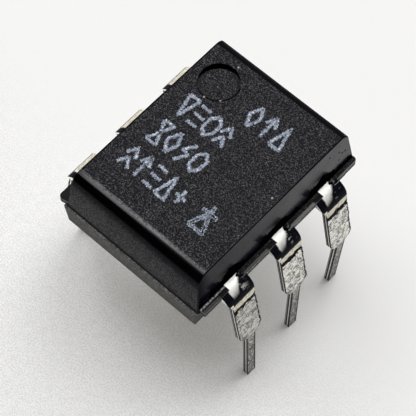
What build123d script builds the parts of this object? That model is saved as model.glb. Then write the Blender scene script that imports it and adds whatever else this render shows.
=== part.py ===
from build123d import *
import math
import os

# Optocoupler in a dual in-line package with two rows of three leads.
# A matte black moulding stands on six tinned leads.  Sealed inside it, a pale
# light guide joins the input half (driver chip and emitter die) to the output
# half (detector chip) across an insulating gap.
#
# Frame: millimetres, +Z up.  The origin is the middle of the plane that the
# lead tips stand on.  Y runs along the body, X across it.  Leads 1 to 3 are
# the -X row, counted towards -Y; leads 4 to 6 are the +X row, counted towards
# +Y.  The dimple on the top marks lead 1.

# ---- Lead rows and the stamped lead frame -------------------------------
pitch = 2.54                # between neighbouring leads of a row
frame_height = 6.28         # middle plane of the flat lead frame above the tips
lead_thickness = 0.25       # sheet that the lead frame is stamped from
neck_width = 0.65           # lead where it leaves the body
wide_width = 1.115          # broad part between the bend and the shoulders
tail_width = 0.41           # narrow part that goes into the board
near_stub = 0.19            # dam-bar stub left on the -Y edge of each lead
far_stub = 0.03             # dam-bar stub left on the +Y edge of each lead
stub_drop = 0.30            # below the frame's top face, where the stubs begin to taper
strip_drop = 0.68           # below the frame's top face, where they have tapered away
shoulder_height = 3.565     # lower corners of the broad part
tail_top = 3.245            # where the shoulders reach the tail
corner_round = 0.05         # stamped outer corners at the shoulders
neck_reach = 0.38           # neck ends and the broad part starts, out from the body
bend_gap = 0.135            # bend starts, out from the body
bend_radius = 0.41          # inside of the bend
splay_angle = 10.2          # broad part leans outwards by this much
kink_height = 3.42          # where the tail turns back to upright
kink_radius = 0.50
mark_drop = 0.90            # forming mark across the broad part, below the frame's top face
mark_height = 0.07
mark_depth = 0.03
row_lag = 0.07              # leads 1 to 3 sit this far towards -Y of leads 6 to 4
tail_lean = {1: -0.20, 2: -0.04, 3: 0.11, 4: 0.11, 5: -0.04, 6: -0.20}  # outward drift of each tip

# ---- Black outer moulding -----------------------------------------------
end_margin = 1.70           # from the outermost lead's middle to the body's end
body_width = 6.47           # at the parting plane
upper_height = 2.06         # parting plane to the top face
lower_height = 1.12         # parting plane to the underside
upper_side_inset = 0.21     # draft of the long sides, over the upper height
upper_end_inset = 0.295     # draft of the ends, over the upper height
lower_side_inset = 0.08     # draft of the lower half
lower_end_inset = 0.08
body_slip = 0.13            # upper half sits this far towards +X of the lead frame
mould_slip = 0.07           # lower half sits this far towards -X of the upper half
mould_shift = 0.08          # and this far towards -Y of it
end_round = 0.43            # polished round along each end of the top
side_round = 0.06           # round along the other top edges and the corners
base_round = 0.05           # round along the edges of the underside
dimple_x = -1.83            # lead 1 dimple
dimple_y = 2.43
dimple_width = 1.58         # across its rim
dimple_slope = 0.12         # run of its sloping wall
dimple_depth = 0.18
ejector_width = 1.60        # ejector mark in the underside
ejector_depth = 0.08
flash_reach = 0.25          # flash web between the leads, out from the body
flash_setback = 0.10        # plain web ends stop this far short of the body's end
lug_reach = {1: 0.17, -1: 0.39}  # thick flash past the last lead, at +X +Y and at -X -Y
lug_beyond = 0.04           # how far it passes the body's end
lug_root = 0.30             # its end runs back into the body over this width
lug_radius = 0.16           # round of its outer corner

# ---- Islands, fingers and the light guide -------------------------------
isolation_gap = 0.80        # between the input and the output island
island_length = 1.60        # along Y
island_width = 1.35         # along X
island_neck = 0.50          # strip that joins an island to its lead
anchor_width = 1.20         # wings that lock the middle leads in the moulding
anchor_length = 0.40
anchor_wall = 0.45          # moulding outside the anchors and limbs
finger_gap = 0.45           # between an island and the finger beside it
finger_width = 0.50
finger_setback = 0.35       # finger tip behind the island's inner edge
limb_width = 0.55           # limb that carries a finger across to its lead
guide_side_margin = 0.25    # guide beyond the islands, along X
guide_end_margin = 0.35     # guide beyond the fingers, along Y
guide_rise = 1.05           # above the lead frame
guide_drop = 0.60           # below the lead frame
guide_draft = 0.12
guide_round = 0.20

# ---- Dice and bond wires ------------------------------------------------
attach_thickness = 0.03
attach_margin = 0.04        # die attach squeezed out round a die
chip_thickness = 0.25
driver_length = 1.00
driver_width = 0.74
emitter_size = 0.30
emitter_margin = 0.07       # emitter to the island's inner edge
detector_length = 1.20
detector_width = 1.00
wire_width = 0.05
wire_loop = 0.28            # height of a wire loop above the chip
wire_turn = 0.10
ball_width = 0.14           # bonded end of a wire, at both ends
ball_height = 0.06
pad_inset = 0.13            # bond pads in from a chip's edges
post_inset = 0.25           # bonds in from the tip of a finger

# ---- Levels and reaches that follow --------------------------------------
body_length = 2 * pitch + 2 * end_margin
half_width = body_width / 2
half_length = body_length / 2
parting = frame_height - lead_thickness / 2
frame_top = frame_height + lead_thickness / 2
body_top = parting + upper_height
body_base = parting - lower_height
neck_end = half_width + neck_reach
splay = math.radians(splay_angle)
outer_radius = bend_radius + lead_thickness
bend_corner = half_width + bend_gap + outer_radius * math.tan((math.pi / 2 - splay) / 2)
island_inner = isolation_gap / 2
island_outer = island_inner + island_width
limb_outer = half_width - anchor_wall
finger_inner = island_length / 2 + finger_gap
finger_outer = finger_inner + finger_width
guide_half_width = island_outer + guide_side_margin
guide_half_length = finger_outer + guide_end_margin
die_base = frame_top + attach_thickness
die_top = die_base + chip_thickness
driver_x = -(island_outer - attach_margin - driver_width / 2)
emitter_x = -(island_inner + emitter_margin + emitter_size / 2)
detector_x = (island_inner + island_outer) / 2
room = 2 * (body_length + frame_height)     # longer than anything, for cuts


def prism(points, plane, start, end):
    """Closed outline on a plane, extruded between two offsets from it."""
    face = plane.offset(start) * make_face(Polyline(*points, close=True))
    return extrude(face, amount=end - start)


def across(points, half_span):
    """Outline in Y and Z, extruded both ways along X."""
    return prism(points, Plane.YZ, -half_span, half_span)


def along(points, half_span):
    """Outline in X and Z, extruded both ways along Y."""
    return prism(points, Plane.XZ, -half_span, half_span)


def frustum(half_x, half_y, inset_x, inset_y, base, top):
    """Block whose four sides lean in by the insets from base to top."""
    lean_x = [(-half_x, base), (half_x, base), (half_x - inset_x, top), (inset_x - half_x, top)]
    lean_y = [(-half_y, base), (half_y, base), (half_y - inset_y, top), (inset_y - half_y, top)]
    return along(lean_x, half_y) & across(lean_y, half_x)


# ---- Leads ----------------------------------------------------------------
def splayed_face(level):
    """X of the outer face of the splayed broad part, at a height."""
    return bend_corner + (frame_top - level) * math.tan(splay)


def bent_strip(lean):
    """Side view of a lead of the +X row, as wide as the whole frame."""
    bend = (bend_corner, frame_top)
    kink = (splayed_face(kink_height), kink_height)
    below = -lead_thickness
    tip = (kink[0] + lean * (kink_height - below) / kink_height, below)
    face_line = Plane.XZ * FilletPolyline(
        (0, frame_top), bend, kink, tip, radius=[outer_radius, kink_radius]
    )
    sheet = make_face(offset(face_line, amount=lead_thickness, side=Side.RIGHT, closed=True))
    strip = extrude(sheet, amount=body_length, both=True)
    above_tips = Pos(0, 0, room / 2) * Box(room, room, room)
    return strip & above_tips


def outer_outline():
    """Front view of a lead outside the body: stubs, broad part, shoulders, tail."""
    tail, wide = tail_width / 2, wide_width / 2
    top, below = frame_top + lead_thickness, -lead_thickness
    near = [(-tail, below), (-tail, tail_top), (-wide, shoulder_height)]
    near += [(-wide, frame_top - strip_drop), (-wide - near_stub, frame_top - stub_drop)]
    near += [(-wide - near_stub, top)]
    far = [(wide + far_stub, top), (wide + far_stub, frame_top - stub_drop)]
    far += [(wide, frame_top - strip_drop), (wide, shoulder_height), (tail, tail_top), (tail, below)]
    face = make_face(Polyline(*near, *far, close=True))
    shoulders = face.vertices().filter_by(lambda v: abs(v.Y - shoulder_height) < 1e-6)
    return fillet(shoulders, corner_round)


def middle_outline():
    """Plan of a middle lead inside the body: island, neck, locking wings."""
    neck, island, wing = neck_width / 2, island_length / 2, anchor_width / 2
    strip = island_neck / 2
    wing_inner = limb_outer - anchor_length
    side = [(island_inner, island), (island_outer, island), (island_outer, strip)]
    side += [(wing_inner, strip), (wing_inner, wing), (limb_outer, wing)]
    side += [(limb_outer, neck), (neck_end, neck)]
    return side + [(x, -y) for x, y in reversed(side)]


def corner_outline(inward):
    """Plan of a corner lead inside the body: neck, limb and bonding finger.

    inward is +1 where the middle of the row lies towards +Y, and -1 elsewhere.
    """
    neck = neck_width / 2
    limb_inner = limb_outer - limb_width
    finger_tip = island_inner + finger_setback
    low, high = pitch - finger_outer, pitch - finger_inner
    points = [(neck_end, -neck), (neck_end, neck), (limb_outer, neck), (limb_outer, high)]
    points += [(finger_tip, high), (finger_tip, low), (limb_inner, low), (limb_inner, -neck)]
    return [(x, inward * y) for x, y in points]


def make_lead(number):
    """One lead, with what it carries inside the body."""
    in_near_row = number > 3
    slot = number - 5 if in_near_row else 2 - number
    strip = bent_strip(tail_lean[number])
    plan = middle_outline() if slot == 0 else corner_outline(-slot)
    inner = prism(plan, Plane.XY, 0, room) & strip
    outer_face = Plane.YZ.offset(neck_end) * outer_outline()
    outer = extrude(outer_face, amount=room) & strip
    lead = Pos(0, slot * pitch, 0) * (inner + outer - forming_mark())
    return lead if in_near_row else Pos(0, -row_lag, 0) * mirror(lead, about=Plane.YZ)


def forming_mark():
    """Groove that the forming tool leaves across the outer face."""
    level = frame_top - mark_drop
    groove = Box(2 * mark_depth, room, mark_height)
    return Pos(splayed_face(level), 0, level) * Rot(0, -splay_angle, 0) * groove


# ---- Outer moulding -------------------------------------------------------
def upper_half():
    """Drafted block with the large end rounds and the small side rounds."""
    ends = [(-half_length, parting), (half_length, parting)]
    ends += [(half_length - upper_end_inset, body_top), (upper_end_inset - half_length, body_top)]
    end_view = make_face(Polyline(*ends, close=True))
    tops = end_view.vertices().filter_by(lambda v: abs(v.Y - body_top) < 1e-6)
    end_view = Plane.YZ.offset(-half_width) * fillet(tops, end_round)
    lean = [(-half_width, parting), (half_width, parting)]
    lean += [(half_width - upper_side_inset, body_top), (upper_side_inset - half_width, body_top)]
    block = extrude(end_view, amount=body_width) & along(lean, half_length)
    sides = block.faces().filter_by(lambda f: abs(f.normal_at().X) > 0.9)
    rims = sides.edges().filter_by(lambda e: e.center().Z > parting + 1e-3)
    return Pos(body_slip, 0, 0) * fillet(rims, side_round)


def lower_half():
    """Drafted block under the parting plane, upside down in its draft."""
    block = frustum(half_width, half_length, lower_side_inset, lower_end_inset, 0, lower_height)
    rims = block.edges().filter_by(lambda e: e.center().Z > 1e-3)
    hanging = mirror(fillet(rims, base_round), about=Plane.XY)
    return Pos(body_slip - mould_slip, -mould_shift, parting) * hanging


def flash_web(side):
    """Thin flash left between the leads of one row, thicker past its last lead.

    side is +1 for the +X row, whose last lead is at the +Y end, and -1 for the other.
    """
    plain_end = half_length - flash_setback
    web_edge = half_width + flash_reach
    lug_start = pitch - neck_width / 2
    lug_end = half_length + lug_beyond
    edge = half_width + lug_reach[side]
    points = [(half_width / 2, -plain_end), (web_edge, -plain_end), (web_edge, lug_start)]
    points += [(edge, lug_start), (edge, lug_end)]
    points += [(half_width - lug_root, plain_end), (half_width / 2, plain_end)]
    web = prism(points, Plane.XY.offset(frame_height), -lead_thickness / 2, lead_thickness / 2)
    web = fillet(web.edges().filter_by(Axis.Z).sort_by(Axis.Y)[-1], lug_radius)
    lag = 0 if side > 0 else row_lag
    for slot in (-1, 0, 1):
        web -= Pos(0, slot * pitch + lag, frame_height) * Box(room, neck_width, lead_thickness)
    return Pos(body_slip, 0, 0) * Rot(0, 0, 0 if side > 0 else 180) * web


def dimple():
    """Sunk round mark beside lead 1."""
    rim = dimple_width / 2
    cone = Cone(rim - dimple_slope, rim, dimple_depth)
    return Pos(body_slip + dimple_x, dimple_y, body_top - dimple_depth / 2) * cone


def ejector_mark():
    """Shallow round in the middle of the underside."""
    disc = Cylinder(ejector_width / 2, 2 * ejector_depth)
    return Pos(body_slip - mould_slip, -mould_shift, body_base) * disc


def guide_block():
    """Outside of the light guide, above and below the lead frame."""
    sizes = (guide_half_width, guide_half_length, guide_draft, guide_draft)
    above = frustum(*sizes, 0, guide_rise + lead_thickness)
    below = mirror(frustum(*sizes, 0, guide_drop), about=Plane.XY)
    upper = fillet(above.edges().filter_by(lambda e: e.center().Z > 1e-3), guide_round)
    lower = fillet(below.edges().filter_by(lambda e: e.center().Z < -1e-3), guide_round)
    return Pos(0, 0, parting) * (upper + lower)


# ---- Dice and bond wires --------------------------------------------------
def carried(x, y, z):
    """A point on the lead frame, moved with the row of leads that carries it."""
    return Vector(x, y - row_lag if x < 0 else y, z)


def die(x, length, width):
    """One die, lying on its die attach."""
    middle = carried(x, 0, die_base + chip_thickness / 2)
    return Pos(*middle) * Box(width, length, chip_thickness)


def die_attach(x, length, width):
    """Cured film between a die and its island."""
    spread = 2 * attach_margin
    middle = carried(x, 0, frame_top + attach_thickness / 2)
    return Pos(*middle) * Box(width + spread, length + spread, attach_thickness)


def bond_wire(start, end):
    """Gold wire from a pad on a chip, up over a loop and down to its post."""
    ball = Cylinder(ball_width / 2, ball_height)
    lift = Vector(0, 0, ball_height / 2)
    first, last = carried(*start) + lift, carried(*end) + lift
    crest = Vector(first.X, first.Y, die_top + wire_loop)
    path = FilletPolyline(first, crest, last, radius=wire_turn)
    wire = sweep(Plane(path @ 0, z_dir=path % 0) * Circle(wire_width / 2), path)
    return wire + Pos(*first) * ball + Pos(*last) * ball


def wire_ends():
    """Pad on a chip and post on the lead frame of each bond wire, by name."""
    finger_x = island_inner + finger_setback + post_inset
    finger_y = (finger_inner + finger_outer) / 2
    corner_y = island_length / 2 - pad_inset
    driver_pad = driver_length / 2 - pad_inset
    driver_edge = driver_x + driver_width / 2 - pad_inset
    driver_back = driver_x - driver_width / 2 + pad_inset
    detector_pad = detector_length / 2 - pad_inset
    detector_front = detector_x - detector_width / 2 + pad_inset
    detector_back = detector_x + detector_width / 2 - pad_inset
    detector_post = island_outer + guide_side_margin / 2
    pads = {
        "wire_driver_supply": (driver_back, driver_pad, die_top),
        "wire_driver_input": (driver_back, -driver_pad, die_top),
        "wire_driver_ground": (driver_edge, driver_pad, die_top),
        "wire_emitter": (driver_edge, 0, die_top),
        "wire_detector_supply": (detector_front, detector_pad, die_top),
        "wire_detector_output": (detector_front, -detector_pad, die_top),
        "wire_detector_ground": (detector_back, -detector_pad, die_top),
    }
    posts = {
        "wire_driver_supply": (-finger_x, finger_y, frame_top),
        "wire_driver_input": (-finger_x, -finger_y, frame_top),
        "wire_driver_ground": (emitter_x, corner_y, frame_top),
        "wire_emitter": (emitter_x, 0, die_top),
        "wire_detector_supply": (finger_x, finger_y, frame_top),
        "wire_detector_output": (finger_x, -finger_y, frame_top),
        "wire_detector_ground": (detector_post, 0, frame_top),
    }
    return {name: (pads[name], posts[name]) for name in pads}


# ---- Assembly ---------------------------------------------------------------
def cut_away(solid, tools):
    """A solid less each of the pieces that sit in it."""
    for tool in tools:
        solid = solid - tool
    return solid


def build_parts():
    """Every sub-part of the optocoupler, by node name."""
    leads = {f"lead_{number}": make_lead(number) for number in range(1, 7)}
    dice = {
        "driver_chip": (driver_x, driver_length, driver_width),
        "emitter_die": (emitter_x, emitter_size, emitter_size),
        "detector_chip": (detector_x, detector_length, detector_width),
    }
    inner = {name: die(*sizes) for name, sizes in dice.items()}
    inner |= {name + "_attach": die_attach(*sizes) for name, sizes in dice.items()}
    inner |= {name: bond_wire(*ends) for name, ends in wire_ends().items()}
    guide = guide_block()
    body = upper_half() + lower_half() + flash_web(1) + flash_web(-1)
    body = body - dimple() - ejector_mark()
    parts = {
        "moulded_body": cut_away(body, [guide, *leads.values()]),
        "light_guide": cut_away(guide, [*leads.values(), *inner.values()]),
    }
    return parts | leads | inner


if __name__ == "__main__":
    os.makedirs("parts", exist_ok=True)
    for name, shape in build_parts().items():
        export_step(shape, f"parts/{name}.step")
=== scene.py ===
"""A black moulded optocoupler on its six splayed leads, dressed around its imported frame.

Lengths are in millimetres in the fields of the classes, and become metres where a mesh or a pattern
is made.
"""

from __future__ import annotations

import logging
import math
from collections.abc import Callable
from dataclasses import dataclass, field
from enum import Enum
from functools import cached_property

import bmesh
import bpy
from bmesh.types import BMesh, BMFace
from bpy.types import ID, Material, Node, NodeSocket, NodeTree, Object
from mathutils import Matrix, Vector, noise


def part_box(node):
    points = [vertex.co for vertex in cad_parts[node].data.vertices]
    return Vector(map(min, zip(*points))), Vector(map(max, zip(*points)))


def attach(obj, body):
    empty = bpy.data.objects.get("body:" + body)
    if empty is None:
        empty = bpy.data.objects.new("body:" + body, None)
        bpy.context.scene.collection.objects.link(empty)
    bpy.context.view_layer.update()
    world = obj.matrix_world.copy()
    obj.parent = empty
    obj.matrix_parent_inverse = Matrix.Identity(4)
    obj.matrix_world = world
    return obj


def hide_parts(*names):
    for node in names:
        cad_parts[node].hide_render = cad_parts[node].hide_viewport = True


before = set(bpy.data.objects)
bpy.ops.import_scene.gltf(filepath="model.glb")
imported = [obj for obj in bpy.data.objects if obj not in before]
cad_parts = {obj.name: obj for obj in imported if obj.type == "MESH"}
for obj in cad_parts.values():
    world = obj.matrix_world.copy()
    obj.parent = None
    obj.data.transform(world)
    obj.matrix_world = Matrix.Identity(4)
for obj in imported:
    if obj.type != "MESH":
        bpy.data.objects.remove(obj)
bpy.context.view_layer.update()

LOG = logging.getLogger("optocoupler")
MM = 0.001
BODY = "root"
Colour = tuple[float, float, float]
Point = tuple[float, float, float]
BLACK: Colour = (0.0, 0.0, 0.0)
PITCH = 2.54
ROW_LAG = 0.13
BODY_SLIP = 0.13
BODY_TOP = 8.215
FLASH_TOP = 6.405


# ---- shader and node helpers


class Graph:
    """The nodes of one material, world or Geometry Nodes tree."""

    def __init__(self, tree: NodeTree) -> None:
        """Takes hold of a tree and empties it."""
        self.tree = tree
        tree.nodes.clear()

    def node(self, kind: str, inputs: dict | None = None, **settings: object) -> Node:
        """Adds one node, applies its settings and then fills its sockets.

        Args:
            kind: The node's type name.
            inputs: Socket name or number to a value, a Val or a socket.
            settings: Attributes of the node, such as a Math node's operation.

        Returns:
            The node.
        """
        made = self.tree.nodes.new(kind)
        for name, value in settings.items():
            setattr(made, name, value)
        for key, value in (inputs or {}).items():
            self.feed(made.inputs[key], value)
        return made

    def feed(self, socket: NodeSocket, value: object) -> None:
        """Links or sets one input socket.

        Args:
            socket: The input socket.
            value: A Val, an output socket, a number, a colour or a name.
        """
        if isinstance(value, Val):
            value = value.socket
        if isinstance(value, NodeSocket):
            self.tree.links.new(value, socket)
        elif isinstance(value, tuple) and len(value) == 3 and socket.type == "RGBA":
            socket.default_value = (*value, 1.0)
        else:
            socket.default_value = value

    def value(
        self, kind: str, inputs: dict | None = None, out: str | int = 0, **settings: object
    ) -> Val:
        """Adds a node as node() does and returns one of its outputs as a Val."""
        return Val(self, self.node(kind, inputs, **settings).outputs[out])

    def mix(self, share: object, low: object, high: object) -> Val:
        """A colour between two, by a share from 0 to 1. The numbers are the node's colour sockets."""
        inputs = {"Factor": share, 6: low, 7: high}
        return self.value("ShaderNodeMix", inputs, 2, data_type="RGBA")

    def vector(self, operation: str, first: object, second: object) -> Val:
        """A vector operation on two values, the second of which is a number for SCALE."""
        inputs = {0: first, "Scale" if operation == "SCALE" else 1: second}
        return self.value("ShaderNodeVectorMath", inputs, operation=operation)

    def wander(self, scale: float, detail: float) -> Val:
        """A noise vector, each part of it from -0.5 to 0.5."""
        swing = self.value("ShaderNodeTexNoise", {"Scale": scale, "Detail": detail}, 1)
        return self.vector("SUBTRACT", swing, (0.5, 0.5, 0.5))

    def random(self, low: Point, high: Point, seed: int) -> Val:
        """A random vector for each point, between two corners."""
        inputs = {0: low, 1: high, "Seed": seed}
        return self.value("FunctionNodeRandomValue", inputs, data_type="FLOAT_VECTOR")

    def moved(self, geometry: Val, way: Val, reach: Val) -> Val:
        """Geometry with its points moved in X and Y, each by its own way times a reach."""
        flat = self.value("ShaderNodeCombineXYZ", {0: reach, 1: reach, 2: 0.0})
        inputs = {"Geometry": geometry, "Offset": self.vector("MULTIPLY", way, flat)}
        return self.value("GeometryNodeSetPosition", inputs)

    def copies(self, points: Val, shape: Val, turn: Val, scale: Val) -> Val:
        """A copy of a shape on each point, turned and scaled."""
        inputs = {"Points": points, "Instance": shape, "Rotation": turn, "Scale": scale}
        return self.value("GeometryNodeInstanceOnPoints", inputs)


def operator(operation: str, swapped: bool = False) -> Callable[[Val, object], Val]:
    """Makes a method that adds a Math node for one of Python's operators.

    Args:
        operation: The Math node's operation.
        swapped: Whether the other operand stands on the left.

    Returns:
        The method.
    """

    def apply(self: Val, other: object) -> Val:
        """Adds the Math node."""
        pair = (other, self) if swapped else (self, other)
        return self.graph.value("ShaderNodeMath", dict(enumerate(pair)), operation=operation)

    return apply


class Val:
    """A number on a socket. Python's operators on it add Math nodes."""

    def __init__(self, graph: Graph, socket: NodeSocket) -> None:
        """Wraps an output socket of the graph."""
        self.graph = graph
        self.socket = socket

    __add__, __radd__ = operator("ADD"), operator("ADD", True)
    __sub__, __rsub__ = operator("SUBTRACT"), operator("SUBTRACT", True)
    __mul__, __rmul__ = operator("MULTIPLY"), operator("MULTIPLY", True)
    __truediv__ = operator("DIVIDE")

    def math(self, operation: str, *others: object) -> Val:
        """Adds a Math node with this value first and the others after it."""
        inputs = dict(enumerate((self, *others)))
        return self.graph.value("ShaderNodeMath", inputs, operation=operation)

    def step(self, low: float, high: float) -> Val:
        """A smooth step from 0 at low to 1 at high, or down again where high is the lower.

        Args:
            low: Where the step is 0.
            high: Where it is 1.

        Returns:
            The step, from 0 to 1.
        """
        down = low > high
        start, end = (high, low) if down else (low, high)
        inputs = {"Value": self, "From Min": start, "From Max": end}
        inputs |= {"To Min": float(down), "To Max": float(not down)}
        return self.graph.value("ShaderNodeMapRange", inputs, interpolation_type="SMOOTHSTEP")

    def clamp(self) -> Val:
        """The value held between 0 and 1."""
        return self.graph.value("ShaderNodeClamp", {0: self})


class Paint(Graph):
    """The nodes of a material on a Principled shader, with the patterns that finishes share."""

    def __init__(self, name: str) -> None:
        """Makes an empty material of that name, and has each point's place in millimetres."""
        self.coat = bpy.data.materials.new(name)
        self.coat.use_nodes = True
        super().__init__(self.coat.node_tree)
        self.place = self.value("ShaderNodeTexCoord", out="Object")
        parts = self.node("ShaderNodeSeparateXYZ", {0: self.place}).outputs
        self.across, self.along, self.height = (Val(self, part) * (1 / MM) for part in parts)
        self.tone: object = BLACK

    @cached_property
    def side(self) -> Val:
        """How far a point is from the middle of the nearest lead of its row, in millimetres."""
        return self.along.math("WRAP", PITCH / 2, -PITCH / 2)

    def over(self, share: object, colour: object) -> None:
        """Lays a colour over the tone so far, by a share from 0 to 1."""
        self.tone = self.mix(share, self.tone, colour)

    def facing(self, axis: int) -> Val:
        """One of the three parts of the surface's own direction."""
        normal = self.value("ShaderNodeTexCoord", out="Normal")
        return self.value("ShaderNodeSeparateXYZ", {0: normal}, axis)

    def grain(
        self,
        size: float,
        detail: float = 2.0,
        rough: float = 0.5,
        stretch: Point = (1, 1, 1),
        shift: float = 0,
    ) -> Val:
        """Cloudy noise.

        Args:
            size: The grain's size in millimetres.
            detail: How many finer octaves it has.
            rough: How strong the finer octaves are.
            stretch: How much denser the grain is along each axis.
            shift: How far the pattern is moved, which gives another one.

        Returns:
            The noise, from 0 to 1.
        """
        mapping = {"Vector": self.place, "Scale": stretch, "Location": (shift * MM,) * 3}
        at = self.value("ShaderNodeMapping", mapping)
        inputs = {"Vector": at, "Scale": 1 / (size * MM), "Detail": detail, "Roughness": rough}
        return self.value("ShaderNodeTexNoise", inputs)

    def attribute(self, name: str) -> Val:
        """A number that the mesh carries at its points."""
        return self.value("ShaderNodeAttribute", out="Fac", attribute_name=name)

    def spot(self, at: Point, radius: float, soft: float) -> Val:
        """A round patch.

        Args:
            at: Its middle, in millimetres.
            radius: Its radius.
            soft: How far its edge fades.

        Returns:
            1 in the patch and 0 outside it.
        """
        ends = {0: self.place, 1: tuple(c * MM for c in at)}
        away = self.value("ShaderNodeVectorMath", ends, "Value", operation="DISTANCE")
        return (away / MM).step(radius + soft, radius)

    def bump(self, height: Val, depth: float, strength: float = 1.0) -> Val:
        """The surface's direction, bumped by heights from 0 to 1 over a depth in millimetres."""
        inputs = {"Height": height, "Distance": depth * MM, "Strength": strength}
        return self.value("ShaderNodeBump", inputs)

    def finish(self, **sockets: object) -> Material:
        """Ends the material on a Principled shader, in the tone so far.

        Args:
            sockets: Further socket names, with _ for a space, and what feeds each.

        Returns:
            The material.
        """
        inputs = {name.replace("_", " "): value for name, value in sockets.items()}
        inputs["Base Color"] = self.tone
        shader = self.node("ShaderNodeBsdfPrincipled", inputs)
        self.node("ShaderNodeOutputMaterial", {"Surface": shader.outputs[0]})
        return self.coat


# ---- finishes


def scaled(colour: Colour, by: float) -> Colour:
    """A colour with each of its parts multiplied."""
    return tuple(c * by for c in colour)


class Zone(Enum):
    """The parts of the moulding that the mould left different."""

    TOP = "epoxy_top"
    DIMPLE = "epoxy_dimple"
    ROUND = "epoxy_round"
    FAR = "epoxy_far_round"
    END = "epoxy_end"
    FLANK = "epoxy_flank"
    LOWER = "epoxy_lower"
    WEB = "epoxy_web"
    RIM = "epoxy_web_rim"


@dataclass(frozen=True)
class Epoxy:
    """Filled black moulding compound, as one zone of the mould leaves it."""

    zone: Zone
    dark: Colour
    light: Colour
    roughness: float
    grain: float = 0.06
    relief: float = 0.02
    strength: float = 0.8
    gloss: float = 0.0
    shine: float = 0.0
    shine_roughness: float = 0.2
    speck: tuple[float, float] = (0.52, 0.72)

    def material(self) -> Material:
        """The finish as a material. A zone of its own look has a method of its own."""
        paint = Paint(self.zone.value)
        fine = paint.grain(self.grain, 3.0, 0.75)
        cloud = paint.grain(0.9, 3.0, 0.6, shift=7)
        sparkle = fine.step(*self.speck)
        paint.tone = paint.mix((sparkle * (0.55 + cloud * 0.9)).clamp(), self.dark, self.light)
        shine = self.shine * (0.8 + cloud * 0.4)
        change = getattr(self, f"_{self.zone.name.lower()}", None)
        if change:
            shine = change(paint, shine)
        # A metal with a black base gives back no light, so the blackest places are metal.
        return paint.finish(
            Roughness=self.roughness + (cloud - 0.5) * 0.15 - sparkle * 0.08,
            Metallic=paint.tone.step(0.0007, 0.0003),
            Normal=paint.bump(fine + cloud * 0.5, self.relief, self.strength),
            Specular_IOR_Level=self.gloss,
            Coat_Weight=shine,
            Coat_Roughness=self.shine_roughness,
        )

    @staticmethod
    def _ends(across: Val) -> Val:
        """The share of the near edge's gloss that is left across the body, less towards its ends."""
        return 0.45 + across.step(-3.1, -2.2) * across.step(3.6, 0.5) * 0.55

    def _top(self, paint: Paint, shine: Val) -> Val:
        """Adds the near edge's polished line, dust, pale specks, a dark line along the -X edge, and
        painted shade on the dimple's near rim.
        """
        across, along = paint.across, paint.along
        wander = (paint.grain(0.25, 3.0) - 0.5) * 0.05
        line = (along + wander).step(NEAR_EDGE + 0.08, NEAR_EDGE + 0.03)
        paint.over(paint.grain(0.07, 1.0, shift=23).step(0.76, 0.8) * 0.8, DUST)
        ring = paint.spot(DIMPLE, 0.835, 0.015) * (1 - paint.spot(DIMPLE, 0.785, 0.01))
        near = (across - DIMPLE[0]) * NEAR_WAY[0] + (along - DIMPLE[1]) * NEAR_WAY[1]
        broken = paint.grain(0.16, 2.0, shift=25).step(0.35, 0.42)
        # Painted shade: a broken black line on the dimple's near rim, where its wall falls away into
        # shade.
        paint.over(ring * near.step(0.1, 0.3) * broken, BLACK)
        paint.over(across.step(-2.80, -2.84), BLACK)
        for speck in SPECKS:
            paint.over(paint.spot(speck, 0.022, 0.03), SPECK)
        patchy = paint.grain(0.1, 2.0, shift=3).step(0.2, 0.6)
        return shine + line * self._ends(across) * patchy

    def _dimple(self, paint: Paint, shine: Val) -> Val:
        """Paints shade into the dimple: its far wall black, where it lies in shade, and grey round the
        rest.
        """
        ragged = (paint.grain(0.12, 3.0, 0.7, shift=26) - 0.5) * 0.05
        aside = paint.across - (DIMPLE[0] + NEAR_WAY[0] * 0.12)
        ahead = paint.along - (DIMPLE[1] + NEAR_WAY[1] * 0.12)
        near = ((aside * aside + ahead * ahead).math("SQRT") + ragged).step(0.8, 0.78)
        mottle = paint.grain(0.05, 3.0, 0.7).step(0.4, 0.7)
        grey = paint.mix(mottle, (0.012, 0.012, 0.014), (0.08, 0.08, 0.09))
        # Painted shade: outside a circle moved towards the viewer the wall is black, inside it grey.
        paint.tone = paint.mix(near, BLACK, grey)
        return shine

    def _round(self, paint: Paint, shine: Val) -> Val:
        """Lets the round shine only at its upper start and a little at its foot."""
        up = paint.facing(2)
        upper = up.step(0.85, 0.965) * self._ends(paint.across)
        return shine * (upper + up.step(0.55, 0.2) * 0.2)

    def _end(self, paint: Paint, shine: Val) -> Val:
        """Dims the end face towards its top and paints shade in a dark line at its foot, along the
        parting.
        """
        height = paint.height
        line = (height + (paint.grain(0.5, 3.0, 0.6) - 0.5) * 0.08).step(6.19, 6.17)
        leather = paint.grain(0.055, 3.0, 0.75, (0.8, 1, 1), 21)
        fade = (1 - height.step(6.6, 7.9) * 0.3) * (1 - height.step(7.4, 7.85) * 0.7)
        paint.over(leather.step(0.56, 0.72), (0.05, 0.05, 0.053))
        # Painted shade: the dark line at the parting stands for the shadow in the step between the
        # mould halves.
        paint.over(line, self.dark)
        return shine * fade * (0.55 + leather.step(0.38, 0.62)) * (1 - line)

    def _flank(self, paint: Paint, shine: Val) -> Val:
        """Adds painted shade in a black band above each lead, the darkening towards the near end and
        the pits.
        """
        along, aside = paint.along, paint.side.math("ABSOLUTE")
        ragged = (paint.grain(0.45, 4.0, 0.7, shift=2) - 0.5) * 1.1
        # Painted shade: a ragged band at the flank's foot, higher above each lead, is painted near
        # black and loses its gloss.
        foot_shade = (7.08 - aside * 0.4 + ragged - paint.height).step(-0.03, 0.05)
        worn = paint.grain(0.06, 3.0, 0.7, shift=34).step(0.3, 0.7)
        fade = (1 - along.step(3.0, -4.0) * 0.5) * (1 - along.step(-3.3, -4.0) * 0.8)
        shine = shine * (1 - foot_shade) * fade * (0.85 + worn * 0.3)
        for pit in PITS:
            shine = shine * (1 - paint.spot(pit, 0.03, 0.025))
        paint.over(foot_shade, (0.0008, 0.0008, 0.001))
        return shine

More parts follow.
